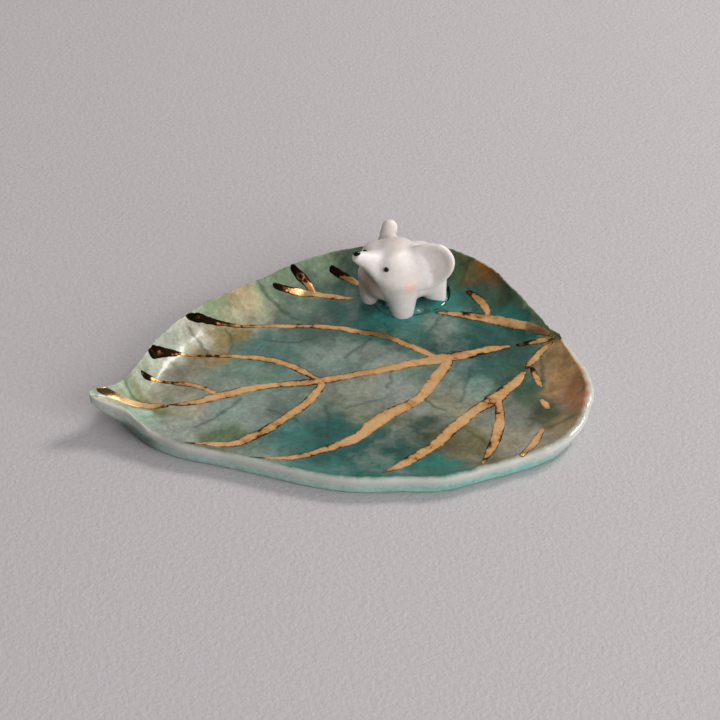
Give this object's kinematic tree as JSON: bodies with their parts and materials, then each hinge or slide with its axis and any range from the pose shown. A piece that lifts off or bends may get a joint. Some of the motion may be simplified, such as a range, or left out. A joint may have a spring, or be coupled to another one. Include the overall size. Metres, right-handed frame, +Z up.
{
  "type": "ring dish",
  "caption": "Leaf-shaped porcelain ring dish with a turned-up rim, gilded veins and a small standing animal on its floor.",
  "frame": {"origin": "middle of the leaf's box, on the table", "axes": "+X from the leaf's tip to its stalk, +Y towards the far lobe behind the animal, +Z up"},
  "size_m": [0.1141, 0.09, 0.0226],
  "materials": {
    "leaf_glaze": "glossy turquoise, sage and amber reactive glaze on a white body",
    "pool_glaze": "thick glossy turquoise glaze",
    "white_porcelain": "smooth unglazed porcelain with a soft sheen",
    "black_glaze": "glossy black underglaze bead",
    "gold_lustre": "brushed-on fired gold, a little worn"
  },
  "bodies": {
    "root": {"leaf_body": "leaf_glaze", "glaze_pool": "pool_glaze", "eye_left": "black_glaze", "eye_right": "black_glaze", "nose": "black_glaze", "torso": "white_porcelain", "head": "white_porcelain", "ear_left": "white_porcelain", "ear_right": "white_porcelain", "leg_front_left": "white_porcelain", "leg_front_right": "white_porcelain", "leg_back_left": "white_porcelain", "leg_back_right": "white_porcelain", "gold_midrib": "gold_lustre", "gold_midrib_stalk": "gold_lustre", "gold_midrib_tip": "gold_lustre", "gold_far_vein_1": "gold_lustre", "gold_far_vein_1_fork": "gold_lustre", "gold_far_vein_1_end": "gold_lustre", "gold_far_wall_stroke_1": "gold_lustre", "gold_far_wall_stroke_2": "gold_lustre", "gold_near_vein_1_stalk": "gold_lustre", "gold_near_vein_1": "gold_lustre", "gold_near_vein_1_fork": "gold_lustre", "gold_dash_1": "gold_lustre", "gold_dash_2": "gold_lustre", "gold_dash_3": "gold_lustre", "gold_far_vein_2": "gold_lustre", "gold_near_vein_2": "gold_lustre", "gold_far_vein_3": "gold_lustre", "gold_near_vein_3": "gold_lustre", "gold_far_vein_4": "gold_lustre"}
  },
  "joints": []
}
